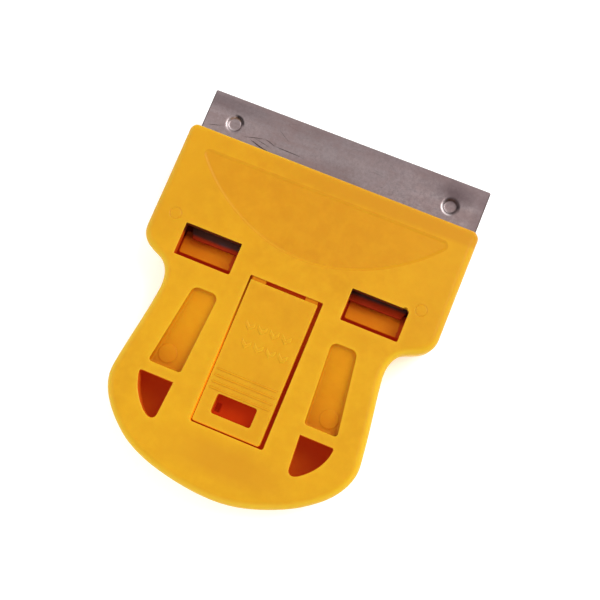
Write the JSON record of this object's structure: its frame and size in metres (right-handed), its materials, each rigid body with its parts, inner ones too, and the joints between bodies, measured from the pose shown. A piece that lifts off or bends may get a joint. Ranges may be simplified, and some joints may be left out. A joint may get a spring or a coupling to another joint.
{
  "type": "razor blade scraper",
  "caption": "Pocket-size moulded scraper with a retracting razor blade carriage, a press flap that releases the slide, side windows and finger grooves.",
  "frame": {"origin": "centre of the rear face's outline box, with the scraper lying on its rear face", "axes": "+Y out of the mouth towards the cutting edge, +Z out of the front face with the press flap, +X to the right seen from the front"},
  "size_m": [0.0426, 0.0532, 0.0075],
  "materials": {
    "shell_plastic": "golden yellow moulded plastic with a fine satin texture",
    "button_plastic": "golden yellow moulded plastic with a fine satin texture",
    "carrier_steel": "rolled sheet steel, lightly scratched",
    "blade_steel": "ground blade steel",
    "spine_steel": "folded sheet steel",
    "spring_steel": "rolled spring steel",
    "rivet_steel": "headed steel"
  },
  "bodies": {
    "handle": {"front_shell": "shell_plastic", "rear_shell": "shell_plastic"},
    "blade_carriage": {"blade_carrier": "carrier_steel", "razor_blade": "blade_steel", "blade_spine": "spine_steel", "latch_leaf": "spring_steel", "leaf_rivet_right": "rivet_steel", "leaf_rivet_left": "rivet_steel"},
    "button": {"release_button": "button_plastic"}
  },
  "joints": [
    {"name": "blade_slide", "type": "slide", "parent": "handle", "child": "blade_carriage", "axis": [0, -1, 0], "range_m": [0, 0.0067], "deforming": ["latch_leaf"]},
    {"name": "button_press", "type": "hinge", "parent": "handle", "child": "button", "pos_m": [0, 0.00305, 0.0068], "axis": [1, 0, 0], "range_deg": [0, 2.2], "stiffness_Nm_per_rad": 0.02}
  ]
}
